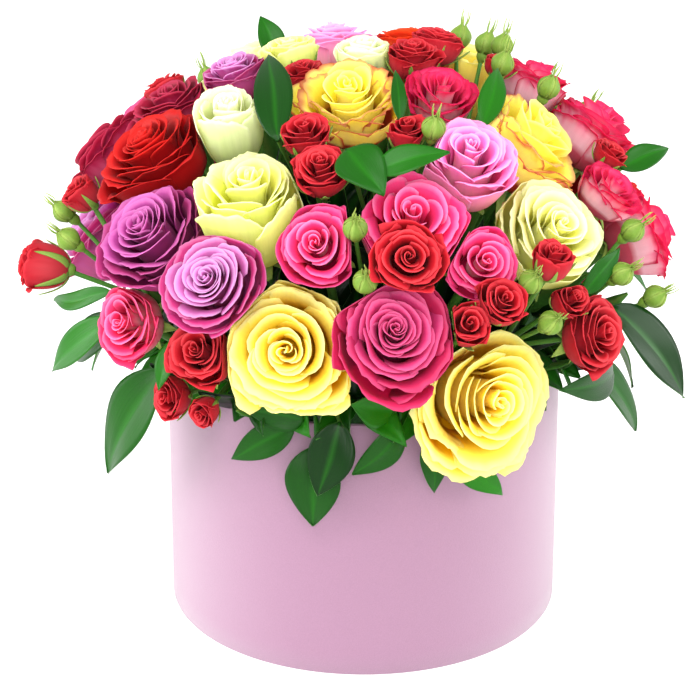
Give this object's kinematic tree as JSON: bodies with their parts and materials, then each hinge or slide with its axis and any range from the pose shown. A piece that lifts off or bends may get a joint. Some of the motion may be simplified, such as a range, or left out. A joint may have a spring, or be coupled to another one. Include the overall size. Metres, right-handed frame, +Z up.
{
  "type": "flower hat box",
  "caption": "Round pink hat box holding a domed bouquet of mixed roses, spray roses, green buds and glossy leaves that stand in florist foam.",
  "frame": {"origin": "middle of the box's flat underside, on the surface it stands on", "axes": "+Z up along the box's middle line; -Y is the pictured front, with the large yellow rose; +X is to the right in the picture"},
  "size_m": [0.3612, 0.3587, 0.3287],
  "materials": {
    "board_grey": "matt grey card, as matt moulded board",
    "box_pink": "matt fine-grained pink paper over card, as matt moulded board",
    "candy_pink": "soft satin petal, light pink",
    "cream": "soft satin petal, cream white",
    "flame": "soft satin petal, yellow with red edges",
    "foam_green": "matt open-celled wet foam",
    "hot_pink": "soft satin petal, hot pink with a pale back",
    "leaf_green": "waxy satin leaf",
    "lemon": "soft satin petal, pale lemon green",
    "lilac": "soft satin petal, lilac",
    "liner_clear": "clear thin film",
    "magenta": "soft satin petal, dark magenta",
    "orange": "soft satin petal, orange red",
    "purple": "soft satin petal, purple",
    "red": "velvet satin petal, deep red",
    "yellow": "soft satin petal, bright yellow"
  },
  "bodies": {
    "root": {"box_base": "board_grey", "box_wall": "box_pink", "florist_foam": "foam_green", "foam_liner": "liner_clear", "leaves_front": "leaf_green", "leaves_front_left": "leaf_green", "leaves_front_right": "leaf_green", "leaves_left": "leaf_green", "leaves_right": "leaf_green", "rose_candy_back": "candy_pink", "rose_candy_pink": "candy_pink", "rose_cream_right": "cream", "rose_cream_top": "cream", "rose_flame_right": "flame", "rose_flame_top": "flame", "rose_lemon_back": "lemon", "rose_lemon_upper": "lemon", "rose_lilac_back": "lilac", "rose_lilac_front": "lilac", "rose_lilac_top": "lilac", "rose_magenta_centre": "magenta", "rose_magenta_high_left": "magenta", "rose_magenta_left": "magenta", "rose_orange_back": "orange", "rose_pink_back_right": "hot_pink", "rose_pink_centre": "hot_pink", "rose_pink_high_right": "hot_pink", "rose_pink_left": "hot_pink", "rose_pink_right": "hot_pink", "rose_pink_right_inner": "hot_pink", "rose_pink_ruffled_right": "hot_pink", "rose_pink_small": "hot_pink", "rose_pink_top": "hot_pink", "rose_purple_left": "purple", "rose_red_back": "red", "rose_red_left": "red", "rose_white_bud": "cream", "rose_yellow_front": "yellow", "rose_yellow_left": "yellow", "roses_back_cream": "cream", "roses_back_magenta": "magenta", "roses_back_pink": "hot_pink", "roses_back_yellow": "yellow", "spray_buds_right": "leaf_green", "spray_buds_top_right": "red", "spray_lilac_back_low": "lilac", "spray_pink_back_low": "hot_pink", "spray_red_back_left": "red", "spray_red_back_low": "red", "spray_red_back_right": "red", "spray_red_centre": "red", "spray_red_centre_top": "red", "spray_red_crown": "red", "spray_red_high_right": "red", "spray_red_left": "red", "spray_red_right": "red", "spray_red_right_centre": "red", "spray_red_rim_left": "red", "spray_red_top": "red", "spray_red_top_left": "red"}
  },
  "joints": []
}
